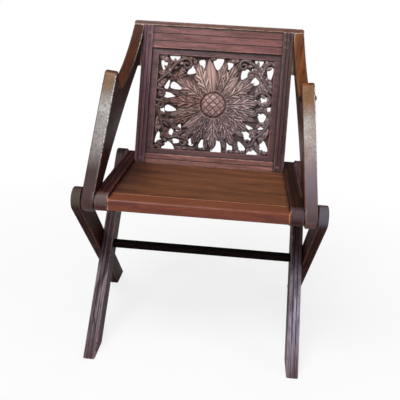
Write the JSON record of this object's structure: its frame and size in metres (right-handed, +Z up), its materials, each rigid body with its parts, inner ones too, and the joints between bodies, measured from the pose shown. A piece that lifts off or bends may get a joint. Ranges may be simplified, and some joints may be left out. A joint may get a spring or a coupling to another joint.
{
  "type": "glastonbury chair",
  "caption": "Oak armchair of pegged boards: crossed legs, boomerang arms leaning into a reclined back, and a back panel carved and pierced with a sunflower among scrolls.",
  "frame": {"origin": "on the floor, at the middle of the chair's footprint box", "axes": "+Z up, -Y towards the sitter's front, +X to the right of someone looking at the chair's front"},
  "size_m": [0.619, 0.5066, 0.8384],
  "materials": {
    "frame_oak": "waxed, worn edges",
    "seat_oak": "waxed, polished by use",
    "carved_oak": "waxed, dark recesses",
    "peg_oak": "waxed, polished ends"
  },
  "bodies": {
    "chair_frame": {"seat_board": "seat_oak", "seat_front_rail": "seat_oak", "seat_rear_rail": "frame_oak", "stretcher": "frame_oak", "back_top_rail": "frame_oak", "back_bottom_rail": "frame_oak", "back_cap": "frame_oak", "back_frame_pins": "peg_oak", "carved_panel": "carved_oak", "seat_rail_right": "frame_oak", "seat_rail_left": "frame_oak", "inner_leg_right": "frame_oak", "inner_leg_left": "frame_oak", "outer_leg_right": "frame_oak", "outer_leg_left": "frame_oak", "arm_right": "frame_oak", "arm_left": "frame_oak", "back_stile_right": "frame_oak", "back_stile_left": "frame_oak", "elbow_peg_right": "peg_oak", "elbow_peg_left": "peg_oak"},
    "front_pivot_peg_right": {"front_pivot_peg_right": "peg_oak"},
    "front_pivot_peg_left": {"front_pivot_peg_left": "peg_oak"},
    "rear_pivot_peg_right": {"rear_pivot_peg_right": "peg_oak"},
    "rear_pivot_peg_left": {"rear_pivot_peg_left": "peg_oak"},
    "back_peg_right": {"back_peg_right": "peg_oak"},
    "back_peg_left": {"back_peg_left": "peg_oak"},
    "foot_peg_right": {"foot_peg_right": "peg_oak"},
    "foot_peg_left": {"foot_peg_left": "peg_oak"}
  },
  "joints": [
    {"name": "front_pivot_peg_right_draw", "type": "slide", "parent": "chair_frame", "child": "front_pivot_peg_right", "axis": [1, 0, 0], "range_m": [0, 0.113]},
    {"name": "front_pivot_peg_left_draw", "type": "slide", "parent": "chair_frame", "child": "front_pivot_peg_left", "axis": [-1, 0, 0], "range_m": [0, 0.113]},
    {"name": "rear_pivot_peg_right_draw", "type": "slide", "parent": "chair_frame", "child": "rear_pivot_peg_right", "axis": [1, 0, 0], "range_m": [0, 0.089]},
    {"name": "rear_pivot_peg_left_draw", "type": "slide", "parent": "chair_frame", "child": "rear_pivot_peg_left", "axis": [-1, 0, 0], "range_m": [0, 0.089]},
    {"name": "back_peg_right_draw", "type": "slide", "parent": "chair_frame", "child": "back_peg_right", "axis": [1, 0, 0], "range_m": [0, 0.054]},
    {"name": "back_peg_left_draw", "type": "slide", "parent": "chair_frame", "child": "back_peg_left", "axis": [-1, 0, 0], "range_m": [0, 0.054]},
    {"name": "foot_peg_right_draw", "type": "slide", "parent": "chair_frame", "child": "foot_peg_right", "axis": [1, 0, 0], "range_m": [0, 0.059]},
    {"name": "foot_peg_left_draw", "type": "slide", "parent": "chair_frame", "child": "foot_peg_left", "axis": [-1, 0, 0], "range_m": [0, 0.059]}
  ]
}
